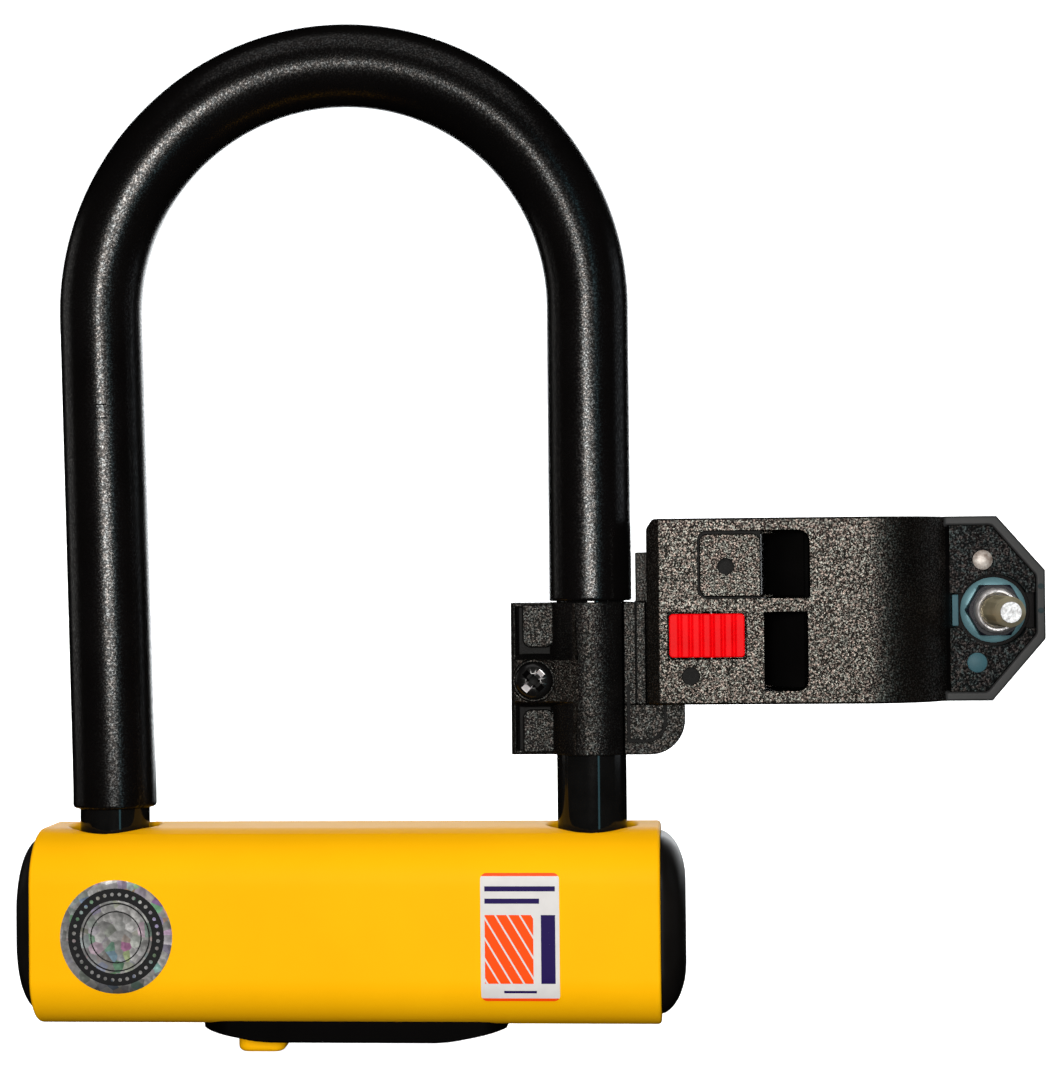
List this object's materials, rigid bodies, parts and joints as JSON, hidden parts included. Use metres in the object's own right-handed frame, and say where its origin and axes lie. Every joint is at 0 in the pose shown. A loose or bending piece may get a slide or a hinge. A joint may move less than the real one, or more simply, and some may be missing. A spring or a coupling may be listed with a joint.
{
  "type": "bicycle u lock",
  "caption": "Small bicycle U lock with a sleeved black shackle, a yellow double-bolt crossbar and a quick-release frame bracket clamped to one leg.",
  "frame": {"origin": "on the axis of the bicycle frame tube that the bracket clamps, at the middle of the bracket's height", "axes": "+Z along the frame tube and up the shackle's legs away from the crossbar, +X from the shackle towards the clamping screw, -Y towards the front with the release rocker and the stickers"},
  "size_m": [0.2065, 0.053, 0.2083],
  "materials": {
    "yellow_shell": "satin moulded ABS, warm yellow",
    "black_cap": "matte black moulded plastic",
    "hard_steel": "bare hardened steel",
    "zinc_plate": "bright zinc plate",
    "spring_steel": "drawn spring wire",
    "lock_brass": "machined brass",
    "foil_sticker": "prismatic silver foil with a printed black rosette",
    "paper_sticker": "gloss white label with orange print",
    "black_bar": "gloss black coated steel",
    "sleeve_plastic": "satin black extruded vinyl",
    "black_nylon": "grained black nylon",
    "liner_rubber": "matte black rubber",
    "red_plastic": "moulded red acetal"
  },
  "bodies": {
    "crossbar": {"crossbar_shell": "yellow_shell", "crossbar_tube": "hard_steel", "end_cap_left": "black_cap", "end_cap_right": "black_cap", "foot_bush_left": "black_cap", "foot_bush_right": "black_cap", "keyhole_cover": "black_cap", "cover_screws": "zinc_plate", "cylinder_housing": "lock_brass", "housing_pin": "zinc_plate", "spring_seats": "hard_steel", "round_sticker": "foil_sticker", "label_sticker": "paper_sticker", "bolt_spring_left": "spring_steel", "bolt_spring_right": "spring_steel"},
    "plug": {"cylinder_plug": "lock_brass", "bolt_cam": "zinc_plate"},
    "bolt_left": {"deadbolt_left": "hard_steel"},
    "bolt_right": {"deadbolt_right": "hard_steel"},
    "shutter": {"dust_shutter": "black_cap", "shutter_knob": "yellow_shell"},
    "shackle": {"shackle_bar": "black_bar", "shackle_sleeve": "sleeve_plastic", "clamp_front": "black_nylon", "clamp_rear": "black_nylon", "clamp_screw": "black_bar", "clamp_nut": "zinc_plate"},
    "bracket": {"bracket_body": "black_nylon", "bracket_jaw": "black_nylon", "liner_front": "liner_rubber", "liner_rear": "liner_rubber", "bracket_screw": "zinc_plate", "flange_nut": "zinc_plate", "screw_washer": "zinc_plate", "rocker_pin": "zinc_plate", "rocker_spring": "spring_steel"},
    "rocker": {"release_rocker": "red_plastic"}
  },
  "joints": [
    {"name": "shackle_slide", "type": "slide", "parent": "crossbar", "child": "shackle", "axis": [0, 0, 1], "range_m": [0, 0.045]},
    {"name": "bracket_slide", "type": "slide", "parent": "shackle", "child": "bracket", "axis": [0, 0, 1], "range_m": [0, 0.034]},
    {"name": "rocker_press", "type": "hinge", "parent": "bracket", "child": "rocker", "pos_m": [-0.0303, -0.0178, -0.00475], "axis": [0, 0, 1], "range_deg": [0, 6], "stiffness_Nm_per_rad": 0.2, "deforming": ["rocker_spring"]},
    {"name": "plug_turn", "type": "hinge", "parent": "crossbar", "child": "plug", "pos_m": [-0.1021, -0.008, -0.0623], "axis": [0, 0, 1], "range_deg": [0, 90]},
    {"name": "bolt_left_slide", "type": "slide", "parent": "crossbar", "child": "bolt_left", "axis": [-1, 0, 0], "range_m": [0, 0.0048], "deforming": ["bolt_spring_left"]},
    {"name": "bolt_right_slide", "type": "slide", "parent": "crossbar", "child": "bolt_right", "axis": [1, 0, 0], "range_m": [0, 0.0048], "deforming": ["bolt_spring_right"]},
    {"name": "shutter_slide", "type": "slide", "parent": "crossbar", "child": "shutter", "axis": [1, 0, 0], "range_m": [0, 0.0135]}
  ],
  "couplings": [
    {"joint": "bolt_left_slide", "follows": "plug_turn", "m_per_rad": 0.00299},
    {"joint": "bolt_right_slide", "follows": "plug_turn", "m_per_rad": 0.00299}
  ]
}
